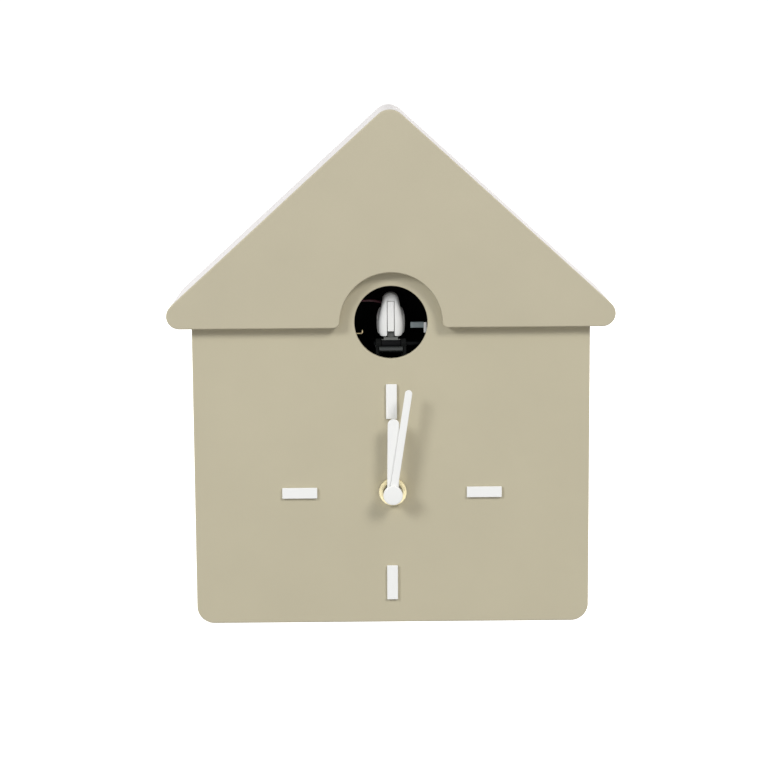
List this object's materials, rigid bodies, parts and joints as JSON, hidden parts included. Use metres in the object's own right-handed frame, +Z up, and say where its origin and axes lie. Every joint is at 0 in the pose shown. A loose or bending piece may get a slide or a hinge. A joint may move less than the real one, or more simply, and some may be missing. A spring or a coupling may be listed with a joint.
{
  "type": "cuckoo clock",
  "caption": "House-shaped cuckoo clock with bar hour marks, two round-ended hands and a bird that swings out of a round window.",
  "frame": {"origin": "centre of the clock's box, on the surface that it stands on", "axes": "+Z up, -Y out of the dial, +X to the right as seen from the front"},
  "size_m": [0.22, 0.0846, 0.2555],
  "materials": {
    "beige_plastic": "matte, lightly textured",
    "white_casing": "matte",
    "white_lacquer": "satin lacquer",
    "bright_brass": "turned, pale",
    "bright_steel": "bright",
    "black_rubber": "matte",
    "black_plastic": "satin moulded",
    "grey_plastic": "satin moulded",
    "acetal": "natural, satin",
    "copper_winding": "enamelled wire",
    "circuit_board": "solder mask",
    "bird_white": "satin moulded",
    "bird_grey": "satin moulded",
    "battery_cell": "printed sleeve, plain",
    "red_wire": "insulation",
    "black_wire": "insulation"
  },
  "bodies": {
    "root": {"front_wall_panel": "beige_plastic", "roof_panel": "beige_plastic", "roof_shell": "white_casing", "wall_shell": "white_casing", "back_cover": "white_casing", "marker_12": "white_lacquer", "marker_3": "white_lacquer", "marker_6": "white_lacquer", "marker_9": "white_lacquer", "fixing_nut": "bright_brass", "back_screw_1": "bright_steel", "back_screw_2": "bright_steel", "back_screw_3": "bright_steel", "back_screw_4": "bright_steel", "fixing_washer": "bright_steel", "stator": "bright_steel", "cross_bar": "bright_steel", "drive_motor": "bright_steel", "contact_minus": "bright_steel", "contact_plus": "bright_steel", "contact_bridge_left": "bright_steel", "contact_bridge_right": "bright_steel", "rubber_washer": "black_rubber", "movement_front_case": "black_plastic", "movement_rear_case": "black_plastic", "cuckoo_frame": "black_plastic", "speaker": "black_plastic", "battery_tray": "black_plastic", "coil": "copper_winding", "circuit_board": "circuit_board", "sound_board": "circuit_board", "battery_1": "battery_cell", "battery_2": "battery_cell", "battery_3": "battery_cell", "red_lead": "red_wire", "black_lead": "black_wire"},
    "minute": {"centre_arbor": "bright_brass", "minute_hand": "white_lacquer", "hand_cap": "white_lacquer"},
    "hour": {"hour_wheel": "acetal", "hour_hand": "white_lacquer"},
    "reversing": {"reversing_wheel": "acetal"},
    "knob": {"setting_knob": "black_plastic"},
    "seconds": {"seconds_wheel": "acetal"},
    "third": {"third_wheel": "acetal"},
    "centre": {"centre_wheel": "acetal"},
    "intermediate": {"intermediate_wheel": "acetal"},
    "rotor": {"rotor": "bright_steel"},
    "bird": {"bird_lever": "grey_plastic", "lever_axle": "bright_steel", "sector_gear": "acetal", "bird_body": "bird_white"},
    "wing_left": {"bird_wing_left": "bird_grey"},
    "wing_right": {"bird_wing_right": "bird_grey"},
    "jaw": {"bird_jaw": "bird_white"},
    "compound": {"compound_gear": "acetal"},
    "pinion": {"motor_pinion": "bright_brass"},
    "door": {"battery_door": "white_casing"},
    "slider": {"switch_slider": "black_plastic"},
    "button": {"call_button": "black_plastic"}
  },
  "joints": [
    {"name": "minute_turn", "type": "hinge", "parent": "root", "child": "minute", "pos_m": [0.0004, -0.0177, 0.0671], "axis": [0, 1, 0], "continuous": true},
    {"name": "hour_turn", "type": "hinge", "parent": "root", "child": "hour", "pos_m": [0.0004, -0.0177, 0.0671], "axis": [0, 1, 0], "continuous": true},
    {"name": "reversing_turn", "type": "hinge", "parent": "root", "child": "reversing", "pos_m": [0.0064, -0.0177, 0.05671], "axis": [0, 1, 0], "continuous": true},
    {"name": "knob_turn", "type": "hinge", "parent": "root", "child": "knob", "pos_m": [0.0124, -0.0177, 0.04632], "axis": [0, 1, 0], "continuous": true},
    {"name": "seconds_turn", "type": "hinge", "parent": "root", "child": "seconds", "pos_m": [0.0004, -0.0177, 0.0671], "axis": [0, 1, 0], "continuous": true},
    {"name": "third_turn", "type": "hinge", "parent": "root", "child": "third", "pos_m": [-0.0111, -0.0177, 0.06291], "axis": [0, 1, 0], "continuous": true},
    {"name": "centre_turn", "type": "hinge", "parent": "root", "child": "centre", "pos_m": [0.0004, -0.0177, 0.0671], "axis": [0, 1, 0], "continuous": true},
    {"name": "intermediate_turn", "type": "hinge", "parent": "root", "child": "intermediate", "pos_m": [0.00836, -0.0177, 0.07268], "axis": [0, 1, 0], "continuous": true},
    {"name": "rotor_turn", "type": "hinge", "parent": "root", "child": "rotor", "pos_m": [0.01549, -0.0177, 0.0798], "axis": [0, 1, 0], "continuous": true},
    {"name": "bird_swing", "type": "hinge", "parent": "root", "child": "bird", "pos_m": [0, -0.0204, 0.1396], "axis": [1, 0, 0], "range_deg": [0, 75]},
    {"name": "compound_turn", "type": "hinge", "parent": "root", "child": "compound", "pos_m": [0.028, -0.00687, 0.13467], "axis": [1, 0, 0], "range_deg": [-375, 0]},
    {"name": "pinion_turn", "type": "hinge", "parent": "root", "child": "pinion", "pos_m": [0.028, 0.00052, 0.12522], "axis": [1, 0, 0], "range_deg": [0, 1500]},
    {"name": "wing_left_open", "type": "hinge", "parent": "bird", "child": "wing_left", "pos_m": [-0.0064, -0.0128, 0.1506], "axis": [0, 0, 1], "range_deg": [-60, 0]},
    {"name": "wing_right_open", "type": "hinge", "parent": "bird", "child": "wing_right", "pos_m": [0.0064, -0.0128, 0.1506], "axis": [0, 0, 1], "range_deg": [0, 60]},
    {"name": "jaw_open", "type": "hinge", "parent": "bird", "child": "jaw", "pos_m": [0, -0.0205, 0.1468], "axis": [1, 0, 0], "range_deg": [0, 6]},
    {"name": "battery_door_open", "type": "hinge", "parent": "root", "child": "door", "pos_m": [-0.054, 0.0411, 0.0147], "axis": [-1, 0, 0], "range_deg": [0, 100]},
    {"name": "switch_slide", "type": "slide", "parent": "root", "child": "slider", "axis": [1, 0, 0], "range_m": [-0.002, 0.002]},
    {"name": "call_press", "type": "slide", "parent": "root", "child": "button", "axis": [0, -1, 0], "range_m": [0, 0.0012], "stiffness_N_per_m": 250}
  ],
  "couplings": [
    {"joint": "hour_turn", "follows": "minute_turn", "ratio": 0.083333},
    {"joint": "reversing_turn", "follows": "minute_turn", "ratio": -0.33333},
    {"joint": "knob_turn", "follows": "minute_turn", "ratio": 1},
    {"joint": "third_turn", "follows": "seconds_turn", "ratio": -0.13333},
    {"joint": "centre_turn", "follows": "seconds_turn", "ratio": 0.016667},
    {"joint": "intermediate_turn", "follows": "seconds_turn", "ratio": -5},
    {"joint": "rotor_turn", "follows": "seconds_turn", "ratio": 30},
    {"joint": "compound_turn", "follows": "bird_swing", "ratio": -5},
    {"joint": "pinion_turn", "follows": "bird_swing", "ratio": 20},
    {"joint": "wing_left_open", "follows": "bird_swing", "ratio": -0.8},
    {"joint": "wing_right_open", "follows": "bird_swing", "ratio": 0.8},
    {"joint": "jaw_open", "follows": "bird_swing", "ratio": 0.08}
  ]
}
